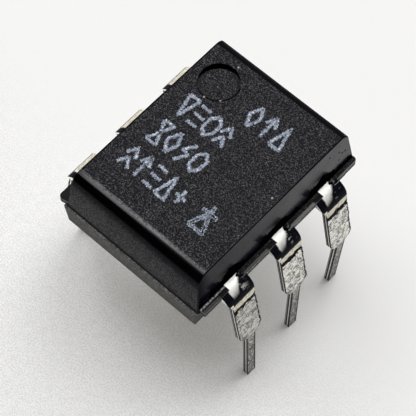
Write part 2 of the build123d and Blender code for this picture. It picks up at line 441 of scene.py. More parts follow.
    def _lower(self, paint: Paint, shine: Val) -> Val:
        """Adds scratches, a brighter speckled line under the parting as a painted highlight on the
        lip's lit edge, and a darker foot.
        """
        scratches = paint.grain(0.05, 3.0, 0.6, (0.2, 0.2, 1), 3)
        paint.over(scratches.step(0.52, 0.68) * 0.45, self.light)
        paint.over(scratches.step(0.42, 0.3) * 0.6, self.dark)
        lit_lip = paint.grain(0.07, 3.0, 0.7, shift=6).step(0.45, 0.65)
        # Painted highlight: the speckled pale line under the parting is the lip's edge catching light.
        paint.over(paint.height.step(6.09, 6.11) * lit_lip * 0.7, scaled(self.light, 1.1))
        paint.over(paint.height.step(5.9, 5.05) * 0.5, self.dark)
        return shine

    def _web(self, paint: Paint, shine: Val) -> Val:
        """Adds a painted highlight on the flash's outer band, painted shade along its inner line and
        beside each lead, and a frosted row at the near end.
        """
        across, along = paint.across, paint.along
        ragged = (paint.grain(0.2, 3.0, 0.7, shift=27) - 0.5) * 0.12
        edge = (across + ragged * 0.3).step(3.50, 3.52) * (0.25 + along.step(-3.2, 2.5) * 0.75)
        # Painted highlight: the flash's outer edge is lit pale, more so towards the far end.
        paint.over(edge, (0.24, 0.24, 0.235))
        # Painted shade: a dark line where the flash meets the body's side.
        paint.over((across + ragged * 0.3).step(3.36, 3.34), self.dark)
        # Painted shade: dark notches beside each lead.
        notch_shade = (paint.side + ragged).step(-0.8, -0.7) * (paint.side + ragged).step(0.0, -0.1)
        paint.over(notch_shade * across.step(3.43, 3.47), self.dark)
        row = (across - 3.405 + ragged * 0.2).math("ABSOLUTE").step(0.04, 0.025)
        dashes = paint.grain(0.1, 3.0, 0.7, (1, 1.5, 1), 8).step(0.44, 0.52)
        paint.over(row * along.step(-2.85, -2.95) * dashes, (0.5, 0.5, 0.5))
        return shine

    def _rim(self, paint: Paint, shine: Val) -> Val:
        """Paints shade on the flash's outer face: darker towards the near end, and a dark line along
        its lower edge.
        """
        # Painted shade: the outer face darkens towards the near end and along its lower edge.
        paint.over(paint.along.step(-1.5, -3.0) * 0.85, self.dark)
        line = (paint.height + (paint.grain(0.2, 2.0) - 0.5) * 0.06).step(6.3, 6.28)
        paint.over(line, (0.001, 0.001, 0.001))
        return shine


DIMPLE: Point = (-1.70, 2.43, BODY_TOP)
NEAR_WAY = (0.67, -0.74)
NEAR_EDGE = -3.57
DUST: Colour = (0.4, 0.41, 0.4)
SPECK: Colour = (0.4, 0.41, 0.39)
SPECKS = tuple(
    (x, y, BODY_TOP) for x, y in ((2.89, 0.14), (-1.673, 1.59), (-1.13, 1.87), (-1.583, 3.36))
)
PITS = (
    (3.24, 3.61, 7.34),
    (3.25, 3.76, 7.31),
    (3.27, 3.42, 7.09),
    (3.20, 2.93, 7.78),
    (3.22, 3.44, 7.55),
)
EPOXY = (
    Epoxy(
        Zone.TOP, (0.003, 0.003, 0.005), (0.18, 0.178, 0.195), roughness=0.6, grain=0.05,
        relief=0.03, strength=1.0, gloss=0.12, speck=(0.47, 0.76),
    ),
    Epoxy(
        Zone.DIMPLE, (0.0008, 0.0008, 0.001), (0.006, 0.006, 0.007), roughness=0.8, grain=0.05,
        relief=0.01, strength=0.5,
    ),
    Epoxy(
        Zone.ROUND, (0.0008, 0.0008, 0.0012), (0.002, 0.002, 0.003), roughness=0.5,
        relief=0.004, strength=0.4, shine=1.0, shine_roughness=0.16,
    ),
    Epoxy(
        Zone.FAR, (0.002, 0.002, 0.003), (0.012, 0.012, 0.014), roughness=0.5, grain=0.07,
        relief=0.01, strength=0.5, gloss=0.03,
    ),
    Epoxy(
        Zone.END, (0.0015, 0.0018, 0.0045), (0.012, 0.0125, 0.017), roughness=0.5,
        relief=0.008, strength=0.5, shine=0.42, shine_roughness=0.3,
    ),
    Epoxy(
        Zone.FLANK, (0.0012, 0.0015, 0.006), (0.006, 0.0065, 0.012), roughness=0.5,
        relief=0.003, strength=0.4, shine=0.75, shine_roughness=0.16,
    ),
    Epoxy(
        Zone.LOWER, (0.085, 0.085, 0.082), (0.33, 0.33, 0.318), roughness=0.8,
        relief=0.015, strength=0.7, gloss=0.05,
    ),
    Epoxy(
        Zone.WEB, (0.003, 0.003, 0.004), (0.12, 0.12, 0.12), roughness=0.5,
        relief=0.03, strength=1.0, gloss=0.15, speck=(0.5, 0.75),
    ),
    # The rim's pale greys are painted light: the flash's black outer face lit by the bright floor.
    Epoxy(
        Zone.RIM, (0.1, 0.1, 0.1), (0.75, 0.75, 0.74), roughness=0.6, grain=0.07,
        relief=0.02, strength=1.0, gloss=0.2,
    ),
)


class Tin(Paint):
    """Tinned lead: bend with painted reflections, coined strip, crease, crinkled solder and satin
    tail, by height.

    The mesh carries two numbers at its points: depth, below the outer face, and rim, in from the
    sheared edge. Heights are above the lead's tip.
    """

    bright: Colour = (1.0, 0.99, 0.95)
    dark_reflection: Colour = (0.002, 0.003, 0.006)
    cream: Colour = (0.85, 0.79, 0.68)
    solder: Colour = (0.78, 0.76, 0.69)
    olive: Colour = (0.36, 0.34, 0.23)
    black: Colour = (0.008, 0.008, 0.01)
    grey: Colour = (0.34, 0.34, 0.33)
    shade: Colour = (0.09, 0.088, 0.075)
    satin: Colour = (0.42, 0.41, 0.4)
    strip_top: float = 5.87
    solder_top: float = 5.5
    crease_at: float = 5.45
    tail_top: float = 3.5
    solder_metal: float = 0.6
    lobe_metal: float = 0.3

    def __init__(self) -> None:
        """Sets up the noise that the parts of the lead share."""
        super().__init__("bright_tin")
        self.wobble = self.grain(0.3, 3.0, 0.6) - 0.5
        self.fine = self.grain(0.07, 3.0, 0.7, shift=4)
        self.crumple = self.grain(0.34, 4.0, 0.65, (1, 0.8, 1.2), 9)

    def material(self) -> Material:
        """The finish as a material."""
        level = self.height + self.wobble * 0.1
        below = level.step(self.solder_top, self.solder_top - 0.06)
        tail = self.height.step(self.tail_top, self.tail_top - 0.25)
        sheared = self.facing(1).math("ABSOLUTE").step(0.55, 0.75)
        crease = self._crease()

        lobe = self._bend()
        worn = self.grain(0.13, 3.0, 0.7).step(0.48, 0.66) * 0.75
        # Painted reflection: the coined strip is cream for the bright floor it reflects, with olive
        # wear in it.
        strip = level.step(self.strip_top, self.strip_top - 0.04)
        self.over(strip, self.mix(worn, self.cream, self.olive))
        self.over(below, self._solder())
        # Painted shade: the sunk crease is painted black.
        self.over(crease, self.black)
        self.over(tail, self._tail())
        self.over(self._outline() * below, self.black)
        self.over(sheared, self._edge())

        metal = (below * (1 - tail) * self.solder_metal * (1 - crease)).math("MAXIMUM", sheared)
        relief = (self.crumple + self.fine * 0.5) * (0.35 + below * 0.65)
        return self.finish(
            Metallic=metal.math("MAXIMUM", lobe * self.lobe_metal),
            Roughness=0.35 + self.fine * 0.2,
            Normal=self.bump(relief, 0.05),
            Specular_IOR_Level=0.05,
        )

    def _crease(self) -> Val:
        """The ragged crease between the coined strip and the solder, painted black as shade in the
        groove, 1 in it.
        """
        width = self.grain(0.22, 3.0, 0.7, shift=11).step(0.34, 0.56) * 0.1 + 0.035
        wander = (self.grain(0.35, 2.0, shift=5) - 0.5) * 0.3
        away = (self.height - self.crease_at + wander).math("ABSOLUTE")
        return (width - away).step(-0.012, 0.012)

    def _outline(self) -> Val:
        """The black line along the solder's edges, ragged all round and steady on the near side."""
        rim = self.attribute("rim")
        ragged = (self.grain(0.15, 3.0, 0.7, shift=13) - 0.5) * 0.22
        steady = rim.step(0.055, 0.04) * self.side.step(0.0, -0.05)
        return (rim + ragged).step(0.075, 0.055).math("MAXIMUM", steady)

    def _bend(self) -> Val:
        """Paints the bend's reflections: a dark blue for the dark surroundings it reflects, one bright
        lobe of painted highlight towards its near side, or cream on the -X row.

        Returns:
            How far a point is in the lobe, from 0 to 1.
        """
        side, height, wobble = self.side, self.height, self.wobble
        out = self.across.math("ABSOLUTE") - 3.4
        reach = 0.36 - out * 0.2 - (side + 0.02 + out * 0.75).math("ABSOLUTE") + wobble * 0.2
        lobe = reach.step(-0.07, 0.08) * (height - side * 0.2 + wobble * 0.1).step(6.14, 6.4)
        lobe = lobe * (side + wobble * 0.12).step(-0.43, -0.37)
        glint_streaks = self.grain(0.16, 3.0, 0.6, (1, 0.5, 1), 31).step(0.5, 0.62)
        mottle = glint_streaks * side.step(0.0, 0.08) * side.step(0.5, 0.1) * height.step(6.02, 6.2)
        # Painted reflection: the bend is dark blue, with streaks of painted highlight on its far side.
        self.tone = self.mix(mottle * 0.45, self.dark_reflection, self.bright)
        low = (height + (out - 0.5) * 0.4).step(6.02, 5.98)
        foot = (side + wobble * 0.06).step(-0.51, -0.53) * height.step(5.84, 5.9)
        # Painted highlight: a bright strip at the foot of the bend on its near side.
        self.over(foot * low, self.bright)
        hidden = self.across.step(0.1, -0.1) * (height + wobble * 0.06).step(6.13, 6.17)
        edge = side + wobble * 0.1
        hidden = hidden * edge.step(-0.56, -0.5) * edge.step(0.54, 0.5)
        self.over(hidden, self.mix(self.fine.step(0.48, 0.6) * 0.8, self.cream, self.olive))
        # Painted highlight: the bright lobe on the +X row.
        self.over(lobe * self.across.step(-0.1, 0.1), self.bright)
        return lobe

    def _solder(self) -> Val:
        """The solder's colour: painted glints on pale facets, painted shade in wrinkles and on the
        leads at the near end, olive patches and black specks.
        """
        patch = self.grain(0.3, 3.0, 0.6, shift=15).step(0.52, 0.7)
        # Painted highlight: bright facets stand for the glints of the crumpled solder.
        glint_facets = self.crumple * 0.3 + self.grain(0.15, 3.0, 0.7, (1, 0.7, 1.5), 33) * 0.7
        tone = self.mix(glint_facets.step(0.43, 0.49), scaled(self.solder, 0.36), self.bright)
        tone = self.mix(patch * 0.45, tone, self.olive)
        # Painted shade: the leads at the near end are darkened.
        tone = self.mix(self.along.step(-1.0, -2.2) * 0.3, tone, self.shade)
        broken = self.grain(0.4, 1.0, shift=19).step(0.4, 0.55)
        # Painted shade: dark lines in the wrinkles.
        wrinkle_shade = (self.crumple - 0.5).math("ABSOLUTE").step(0.03, 0.012) * broken
        tone = self.mix(wrinkle_shade * 0.85, tone, self.shade)
        return self.mix(self.fine.step(0.58, 0.63) * 0.95, tone, self.black)

    def _tail(self) -> Val:
        """The tail's colour: satin, darker towards its tip, with painted glints and dark patches."""
        satin = self.mix(self.height.step(3.2, 2.0), self.satin, scaled(self.satin, 0.55))
        glints = self.grain(0.1, 3.0, 0.7, (1, 1, 0.5), 35).step(0.5, 0.65) * 0.7
        # Painted highlight: bright glints mixed into the satin.
        satin = self.mix(glints, satin, self.bright)
        dull = self.grain(0.16, 3.0, 0.7, shift=17).step(0.53, 0.66) * 0.75
        return self.mix((dull + self.fine.step(0.52, 0.64) * 0.7).clamp(), satin, self.black)

    def _edge(self) -> Val:
        """The sheared edge's colour: pale beside the bend, and banded through its thickness below."""
        at = self.attribute("depth") + (self.fine - 0.5) * 0.025
        tone = self.mix(at.step(0.08, 0.086), self.black, self.bright)
        tone = self.mix(at.step(0.118, 0.124), tone, self.black)
        tone = self.mix(at.step(0.19, 0.196), tone, self.grey)
        last = at.step(0.215, 0.225) * self.height.step(3.3, 3.5)
        tone = self.mix(last, tone, self.black)
        stub = self.mix(self.fine.step(0.6, 0.7) * 0.4, self.bright, self.grey)
        return self.mix((self.height + self.fine * 0.1).step(5.68, 5.74), tone, stub)


@dataclass(frozen=True)
class Inner:
    """The finish of the sealed parts that have a word in their names."""

    word: str
    name: str
    low: Colour
    high: Colour
    grain: float
    roughness: float
    metallic: float = 0.0

    def material(self) -> Material:
        """The finish as a material."""
        paint = Paint(self.name)
        fine = paint.grain(self.grain, 3.0, 0.6)
        paint.tone = paint.mix(fine.step(0.35, 0.65), self.low, self.high)
        normal = paint.bump(fine, self.grain * 0.1, 0.5)
        rough = self.roughness + (fine - 0.5) * 0.2
        return paint.finish(Metallic=self.metallic, Roughness=rough, Normal=normal)


SEALED = (
    Inner("_attach", "silver_paste", (0.5, 0.5, 0.49), (0.68, 0.68, 0.66), 0.03, 0.5, 0.7),
    Inner("light_guide", "milky_resin", (0.76, 0.75, 0.7), (0.86, 0.86, 0.83), 0.2, 0.45),
    Inner("_chip", "silicon", (0.13, 0.13, 0.17), (0.24, 0.24, 0.27), 0.08, 0.2, 0.6),
    Inner("_die", "emitter_crystal", (0.2, 0.12, 0.1), (0.32, 0.2, 0.16), 0.05, 0.25, 0.3),
    Inner("wire_", "gold_wire", (0.85, 0.6, 0.2), (0.95, 0.74, 0.33), 0.04, 0.2, 1.0),
)


@dataclass(frozen=True)
class Ink:
    """Pale blue-grey marking ink, thin and uneven, so that it shows the compound in places."""

    thin: Colour = (0.06, 0.07, 0.1)
    colour: Colour = (0.26, 0.3, 0.39)
    bright: Colour = (0.78, 0.84, 0.93)

    def material(self) -> Material:
        """The finish as a material."""
        paint = Paint("marking_ink")
        fine = paint.grain(0.07, 3.0, 0.6)
        paint.tone = paint.mix(fine.step(0.52, 0.66), self.colour, self.bright)
        paint.over(paint.grain(0.08, 3.0, 0.7, shift=2).step(0.48, 0.38), self.thin)
        return paint.finish(Roughness=0.6, Normal=paint.bump(fine, 0.005, 0.5))


# ---- meshes

MERGE_WITHIN = 1e-7
CUT_WITHIN = 2e-7
FLAT_WITHIN = math.radians(0.5)
SHARP_FROM = math.radians(38)


def merged_copy(node: str) -> BMesh:
    """A CAD node's mesh with its triangles joined and its flat faces made one face each.

    Args:
        node: The CAD node's name.

    Returns:
        The copy, for the caller to free.
    """
    shape = bmesh.new()
    shape.from_mesh(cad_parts[node].data)
    bmesh.ops.remove_doubles(shape, verts=shape.verts, dist=MERGE_WITHIN)
    bmesh.ops.dissolve_limit(shape, angle_limit=FLAT_WITHIN, verts=shape.verts, edges=shape.edges)
    return shape


def cut_grid(shape: BMesh, axis: int, low: float, high: float, step: float) -> None:
    """Cuts a mesh by evenly spaced planes across one axis.

    Args:
        shape: The mesh.
        axis: 0, 1 or 2, for X, Y or Z.
        low: Where the planes begin, in millimetres.
        high: Where they end.
        step: How far apart they are.
    """
    way = Vector([float(k == axis) for k in range(3)])
    count = max(1, round((high - low) / step))
    for k in range(count + 1):
        at = way * (low + (high - low) * k / count) * MM
        geometry = shape.verts[:] + shape.edges[:] + shape.faces[:]
        bmesh.ops.bisect_plane(shape, geom=geometry, dist=CUT_WITHIN, plane_co=at, plane_no=way)


def link(name: str, data: ID) -> Object:
    """Makes an object of a mesh, curve, camera or lamp and puts it in the scene."""
    made = bpy.data.objects.new(name, data)
    bpy.context.scene.collection.objects.link(made)
    return made


def put(shape: BMesh, name: str, materials: list[Material]) -> Object:
    """Makes an object of a mesh, smooth but for its sharp edges, and frees the mesh.

    Args:
        shape: The mesh.
        name: The object's name.
        materials: Its materials, in the order of their slots.

    Returns:
        The object.
    """
    mesh = bpy.data.meshes.new(name)
    shape.to_mesh(mesh)
    shape.free()
    for material in materials:
        mesh.materials.append(material)
    mesh.shade_smooth()
    mesh.set_sharp_from_angle(angle=SHARP_FROM)
    return link(name, mesh)


def cloud(at: Vector, size: float, shift: float = 0.0) -> float:
    """Smooth noise from -1 to 1 at a place. The shift gives another pattern."""
    return noise.noise(at / size + Vector((shift, shift * 1.7, -shift)))


# ---- the part


@dataclass(frozen=True)
class Moulding:
    """The black outer moulding, with the zones that the mould left on it."""

    parting: float = 6.155
    half_width: float = 3.24
    dimple: Point = (-1.70, 2.43, 8.13)
    dimple_reach: float = 0.86
    far_round: float = 3.5
    small_face: float = 0.3
    slack: float = 1e-3

    def build(self) -> Object:
        """Makes the moulding's dressed copy.

        Returns:
            The piece.
        """
        shape = merged_copy("moulded_body")
        order = [finish.zone for finish in EPOXY]
        for face in shape.faces:
            face.material_index = order.index(self._zone(face))
        made = put(shape, "outer_moulding", [finish.material() for finish in EPOXY])
        for face in made.data.polygons:
            face.use_smooth = face.area < self.small_face * MM * MM
        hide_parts("moulded_body")
        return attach(made, BODY)

    def _zone(self, face: BMFace) -> Zone:
        """The zone that a face of the moulding is in, by its middle and the way it faces."""
        middle, way = face.calc_center_median() / MM, face.normal
        above = middle.z - self.parting
        if above < -self.slack or (way.z > 0.9 and above < self.slack):
            return Zone.LOWER
        outside = abs(middle.x - BODY_SLIP) > self.half_width or abs(way.z) > 0.9
        if middle.z <= FLASH_TOP + self.slack and outside:
            return Zone.WEB if way.z > 0.5 else Zone.RIM
        if way.z > 0.995:
            return Zone.TOP
        if (middle - Vector(self.dimple)).length < self.dimple_reach:
            return Zone.DIMPLE
        if abs(way.x) > 0.9:
            return Zone.FLANK
        if abs(way.x) > 0.2 and middle.z > self.dimple[2]:
            return Zone.FAR
        if abs(way.y) > 0.97:
            return Zone.END
        return Zone.FAR if middle.y > self.far_round else Zone.ROUND


@dataclass
class Lead:
    """One tinned lead, with crinkled solder below its bend and a worn sheared edge."""

    number: int
    flash_edge: float = 3.3
    bend_start: float = 3.37
    bend_radius: float = 0.66
    bend_base: float = 5.83
    step: float = 0.05
    foot: float = 0.05
    splay: float = 0.985
    skin: float = 0.08
    crinkle: float = 0.028
    solder: tuple[float, float] = (3.2, 5.5)
    crease_at: float = 5.44
    crease: tuple[float, float] = (0.05, 0.035)
    kink: float = 3.42
    drift: dict[int, float] = field(default_factory=lambda: {3: 0.25})
    middle: float = 0.0
    cut: float = 0.05
    outer: dict[int, float] = field(default_factory=dict)
    half: dict[int, float] = field(default_factory=dict)

    def build(self, material: Material) -> Object:
        """Makes the lead's dressed copy.

        Args:
            material: The tin finish.

        Returns:
            The piece.
        """
        node = f"lead_{self.number}"
        shape = merged_copy(node)
        low, high = (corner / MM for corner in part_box(node))
        reach = self.bend_start + 0.1
        spread = [vert.co.y / MM for vert in shape.verts if abs(vert.co.x) / MM > reach]
        self.middle = (min(spread) + max(spread)) / 2
        span = FLASH_TOP - 0.02 - self.foot
        self.cut = span / round(span / self.step)
        cut_grid(shape, 2, self.foot, self.foot + span, self.step)
        cut_grid(shape, 1, low.y, high.y, self.step)
        side = 1 if high.x > self.flash_edge else -1
        near, far = sorted((side * self.flash_edge, side * max(abs(low.x), abs(high.x))))
        cut_grid(shape, 0, near, far, self.step)
        self._crinkle(shape)
        made = put(shape, f"dressed_{node}", [material])
        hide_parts(node)
        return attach(made, BODY)

    def _measure(self, shape: BMesh) -> None:
        """Finds how far out and how wide the lead is at each cut, from its base up."""
        self.outer, self.half = {}, {}
        for vert in shape.verts:
            key = round((vert.co.z / MM - self.foot) / self.cut)
            self.outer[key] = max(self.outer.get(key, 0.0), abs(vert.co.x) / MM)
            self.half[key] = max(self.half.get(key, 0.0), abs(vert.co.y / MM - self.middle))

    def _read(self, table: dict[int, float], level: float) -> float:
        """What a table says at a height, between its two nearest cuts."""
        place = (level - self.foot) / self.cut
        low = math.floor(place)
        first = table.get(low, table.get(low + 1, 0.0))
        return first + (table.get(low + 1, first) - first) * (place - low)

    def _depth(self, at: Vector) -> float:
        """How far below the outer face a point is, in millimetres."""
        out = abs(at.x)
        if at.z > self.bend_base:
            over = Vector((max(out - self.bend_start, 0.0), at.z - (FLASH_TOP - self.bend_radius)))
            return self.bend_radius - over.length
        return (self._read(self.outer, at.z) - out) * self.splay

    def _rim(self, at: Vector) -> float:
        """How far in from the sheared edge a point is, in millimetres, or 1 on the bend."""
        if at.z > self.bend_base:
            return 1.0
        return self._read(self.half, at.z) - abs(at.y - self.middle)

    def _crinkle(self, shape: BMesh) -> None:
        """Raises and sinks the solder, notes where each point is, and lets a tail drift."""
        deep, near = (shape.verts.layers.float.new(name) for name in ("depth", "rim"))
        self._measure(shape)
        shape.normal_update()
        moves = {}
        for vert in shape.verts:
            at = vert.co / MM
            if abs(at.x) < self.flash_edge:
                vert[near] = 1.0
                continue
            vert[deep], vert[near] = self._depth(at), self._rim(at)
            amount = self._relief(at, vert[deep])
            if amount:
                moves[vert] = vert.normal * amount * MM
        for vert, move in moves.items():
            vert.co += move
        drift = self.drift.get(self.number, 0.0)
        for vert in shape.verts:
            vert.co.y += drift * max(0.0, 1 - vert.co.z / MM / self.kink) * MM

    def _relief(self, at: Vector, depth: float) -> float:
        """How far out of the CAD surface a point goes, in millimetres."""
        base, top = self.solder
        solder = min(1.0, max(0.0, (top - at.z) / 0.15)) * min(1.0, max(0.0, (at.z - base) / 0.3))
        bumps = cloud(at, 0.2, self.number) + 0.7 * cloud(at, 0.09, self.number + 3)
        crease_at = self.crease_at + 0.07 * cloud(at, 0.4, self.number + 9)
        width, sunk = self.crease
        crease = math.exp(-(((at.z - crease_at) / width) ** 2))
        return max(0.0, 1 - depth / self.skin) * (solder * self.crinkle * bumps - sunk * crease)


@dataclass(frozen=True)
class Grown:
    """A piece that a Geometry Nodes tree makes from straight lines, and that is then a mesh."""

    inputs = ()
    name: str

    def lines(self) -> list[list[Point]]:
        """The lines, each by its corners."""
        raise NotImplementedError

    def fill(self, graph: Graph, lines: Val, size: dict[str, Val]) -> list[Val]:
        """Adds the nodes that make the geometry.

        Args:
            graph: The Geometry Nodes tree.
            lines: The lines as curves.
            size: The tree's named inputs, in metres.

        Returns:
            The geometry, in parts.
        """
        raise NotImplementedError

    def _source(self) -> Object:
        """The lines as one curve object."""
        curve = bpy.data.curves.new(self.name, "CURVE")
        curve.dimensions = "3D"
        for corners in self.lines():
            line = curve.splines.new("POLY")
            line.points.add(len(corners) - 1)
            for point, (x, y, z) in zip(line.points, corners):
                point.co = (x * MM, y * MM, z * MM, 1.0)
        return link(self.name, curve)

    def build(self, material: Material) -> Object:
        """Makes the piece.

        Args:
            material: The finish that the tree sets.

        Returns:
            The piece.
        """
        tree = bpy.data.node_groups.new(self.name, "GeometryNodeTree")
        face = tree.interface
        face.new_socket("Geometry", in_out="INPUT", socket_type="NodeSocketGeometry")
        sockets = {
            name.title(): face.new_socket(name.title(), in_out="INPUT", socket_type="NodeSocketFloat")
            for name in self.inputs
        }
        face.new_socket("Geometry", in_out="OUTPUT", socket_type="NodeSocketGeometry")
        graph = Graph(tree)
        given = graph.node("NodeGroupInput").outputs
        joined = graph.node("GeometryNodeJoinGeometry")
        for part in self.fill(graph, Val(graph, given[0]), {n: Val(graph, given[n]) for n in sockets}):
            graph.feed(joined.inputs[0], part)
        real = graph.value("GeometryNodeRealizeInstances", {0: joined.outputs[0]})
        inked = graph.value("GeometryNodeSetMaterial", {"Geometry": real, "Material": material})
        graph.node("NodeGroupOutput", {0: inked})
        source = self._source()
        modifier = source.modifiers.new(self.name, "NODES")
        modifier.node_group = tree
        for name, socket in sockets.items():
            modifier[socket.identifier] = getattr(self, name.lower()) * MM
        grown = source.evaluated_get(bpy.context.evaluated_depsgraph_get())
        mesh = bpy.data.meshes.new_from_object(grown)
        bpy.data.objects.remove(source)
        mesh.name = self.name
        mesh.materials.clear()
        mesh.materials.append(material)
        mesh.polygons.foreach_set("material_index", [0] * len(mesh.polygons))
        made = link(self.name, mesh)
        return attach(made, BODY)


HEXAGON = [(0, 0.5), (0.5, 0.22), (0.5, -0.22), (0, -0.5), (-0.5, -0.22), (-0.5, 0.22), (0, 0.5)]
GLYPHS = {
    "diamond": [[(0, 0.5), (0.5, 0), (0, -0.5), (-0.5, 0), (0, 0.5)]],
    "arrow": [[(0, -0.5), (0, 0.5)], [(-0.45, 0.1), (0, 0.5), (0.45, 0.1)]],
    "peak": [[(-0.5, -0.5), (0, 0.5), (0.5, -0.5), (-0.5, -0.5)]],
    "dip": [[(-0.5, 0.5), (0, -0.5), (0.5, 0.5), (-0.5, 0.5)]],
    "bars": [[(-0.5, y), (0.5, y)] for y in (-0.42, 0, 0.42)],
    "hexagon": [HEXAGON],
    "chevrons": [[(-0.5, y - 0.25), (0, y + 0.15), (0.5, y - 0.25)] for y in (-0.2, 0.3)],
    "glass": [[(-0.5, 0.5), (0.5, 0.5), (-0.5, -0.5), (0.5, -0.5), (-0.5, 0.5)]],
    "bolt": [[(0.35, 0.5), (-0.35, 0.02), (0.35, -0.02), (-0.35, -0.5)]],
    "plus": [[(-0.5, 0), (0.5, 0)], [(0, -0.32), (0, 0.32)]],
    "diode": [
        [(-0.5, -0.5), (0.5, -0.5), (0, 0.2), (-0.5, -0.5)],
        [(-0.5, 0.2), (0.5, 0.2)],
        [(0, 0.2), (0, 0.5)],
    ],
}
"""The marks' strokes, each in a cell that is one unit wide and high."""
ROWS = (
    (0.26, 2.2, 0.65, "diamond arrow peak"),
    (-1.86, 0.86, 0.61, "dip bars hexagon chevrons"),
    (-1.82, -0.56, 0.61, "glass diamond bolt hexagon"),
    (-1.94, -2.0, 0.61, "chevrons arrow bars peak plus"),
)
"""The rows: where the first mark's middle is, the marks' pitch, and which they are."""


@dataclass(frozen=True)
class Marks(Grown):
    """Pale stamped marks on the top, in the place of the maker's print. They say nothing."""

    inputs = ("width", "fringe", "dot", "spacing", "wobble")
    name: str = "print_marks"
    width: float = 0.1
    fringe: float = 0.15
    dot: float = 0.022
    spacing: float = 0.036
    wobble: float = 0.035
    height: float = 0.98
    breadth: float = 0.46
    thickness: float = 0.012
    step: float = 0.05
    wave: float = 0.3

    def places(self) -> list[tuple[float, float, float, str]]:
        """Where each mark's middle is, how large it is, and which mark it is."""
        found = []
        for x, y, pitch, row in ROWS:
            found += [(x + k * pitch, y, 1.0, name) for k, name in enumerate(row.split())]
        return found + [(1.69, -2.01, 1.45, "diode"), (1.72, -2.03, 1.45, "diode")]

    def lines(self) -> list[list[Point]]:
        """The strokes of every mark."""
        found = []
        for x, y, size, name in self.places():
            wide, tall = self.breadth * size, self.height * (1 + (size - 1) * 0.3)
            for stroke in GLYPHS[name]:
                found.append([(x + u * wide, y + v * tall, BODY_TOP) for u, v in stroke])
        return found

    def fill(self, graph: Graph, lines: Val, size: dict[str, Val]) -> list[Val]:
        """Lays a thin band of ink along each stroke and a fringe of dots over it."""
        inputs = {"Curve": lines, "Length": self.step * MM}
        even = graph.value("GeometryNodeResampleCurve", inputs, mode="LENGTH")
        bent = graph.moved(even, graph.wander(1 / (self.wave * MM), 2.0), size["Wobble"] * 2)
        flat = graph.value("GeometryNodeSetCurveNormal", {"Curve": bent}, mode="Z_UP")
        inputs = {"Width": size["Width"], "Height": self.thickness * MM}
        bar = graph.value("GeometryNodeCurvePrimitiveQuadrilateral", inputs)
        inputs = {"Curve": flat, "Profile Curve": bar, "Fill Caps": True}
        ink = graph.value("GeometryNodeCurveToMesh", inputs)

        half = size["Fringe"] * 0.5
        left, right = (graph.value("ShaderNodeCombineXYZ", {0: half * way}) for way in (-1.0, 1.0))
        line = graph.value("GeometryNodeCurvePrimitiveLine", {"Start": left, "End": right})
        band = graph.value("GeometryNodeCurveToMesh", {"Curve": flat, "Profile Curve": line})
        inputs = {"Mesh": band, "Distance Min": size["Spacing"], "Density Max": 9e8, "Seed": 4}
        spots = graph.value("GeometryNodeDistributePointsOnFaces", inputs, distribute_method="POISSON")
        inputs = {"Vertices": 7, "Radius": size["Dot"], "Depth": size["Dot"] * 0.8}
        disc = graph.value("GeometryNodeMeshCylinder", inputs)
        scale = graph.value("FunctionNodeRandomValue", {2: 0.55, 3: 1.25, "Seed": 7}, 1)
        turn = graph.random((0.0, 0.0, 0.0), (0.15, 0.15, 6.28), 9)
        return [ink, graph.copies(spots, disc, turn, scale)]


@dataclass(frozen=True)
class Crumbs(Grown):
    """Loose lumps of the moulding's flash, laid along rows on both sides of the body.

    Each row is its two ends in x and y on the +X side, beside the middle lead. The lumps have the
    finish that the moulding has in their zone.
    """

    inputs = ("size", "spacing", "scatter")
    size: float
    spacing: float
    scatter: float
    rows: tuple[tuple[float, float, float, float], ...]
    zone: Zone
    level: float = 6.41

    def lines(self) -> list[list[Point]]:
        """The rows at each lead, and again turned half round for the -X side."""
        found = []
        for way, lag in ((1, 0.0), (-1, ROW_LAG)):
            for slot in (-1, 0, 1):
                for x0, y0, x1, y1 in self.rows:
                    ends = [(x0, slot * PITCH + y0), (x1, slot * PITCH + y1)]
                    turned = [(way * (x - BODY_SLIP) + BODY_SLIP, way * y - lag) for x, y in ends]
                    found.append([(x, y, self.level) for x, y in turned])
        return found

    def fill(self, graph: Graph, lines: Val, size: dict[str, Val]) -> list[Val]:
        """Sets lumps of many sizes and turns along the rows."""
        inputs = {"Curve": lines, "Length": size["Spacing"]}
        points = graph.value("GeometryNodeCurveToPoints", inputs, mode="LENGTH")
        spread = graph.moved(points, graph.random((-1, -1, -1), (1, 1, 1), 3), size["Scatter"])
        inputs = {"Radius": size["Size"], "Subdivisions": 2}
        lump = graph.value("GeometryNodeMeshIcoSphere", inputs)
        deep = graph.vector("SCALE", graph.wander(12000.0, 1.0), size["Size"] * 1.2)
        rough = graph.value("GeometryNodeSetPosition", {"Geometry": lump, "Offset": deep})
        scale = graph.random((0.4, 0.6, 0.35), (1.0, 1.6, 0.8), 5)
        turn = graph.random((-0.3, -0.3, -0.6), (0.3, 0.3, 0.6), 6)
        return [graph.copies(spread, rough, turn, scale)]


CRUMBS = (
    Crumbs(
        "flash_crumbs",
        size=0.045,
        spacing=0.08,
        scatter=0.05,
        rows=((3.47, -0.95, 3.47, -0.4), (3.47, 0.4, 3.47, 1.2)),
        zone=Zone.WEB,
    ),
    Crumbs(
        "flash_lumps",
        size=0.11,
        spacing=0.07,
        scatter=0.02,
        rows=((3.42, 0.33, 3.53, 0.42),),
        zone=Zone.ROUND,
    ),
)


@dataclass(frozen=True)
class SealedParts:
    """The light guide, chips, films and wires inside the moulding."""

    finishes: tuple[Inner, ...] = SEALED

    def dress(self) -> None:
        """Gives each its finish."""
        materials = {finish.word: finish.material() for finish in self.finishes}
        for name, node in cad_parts.items():
            for word, material in materials.items():
                if word in name:
                    node.data.materials.clear()
                    node.data.materials.append(material)
                    LOG.info("%s: %s", name, material.name)
                    break


# ---- studio


def way_to(azimuth: float, elevation: float) -> Vector:
    """The way towards a place round from the -Y side and up, by two angles in degrees."""
    turn, lift = math.radians(azimuth), math.radians(elevation)
    level = math.cos(lift)
    return Vector((math.sin(turn) * level, -math.cos(turn) * level, math.sin(lift)))


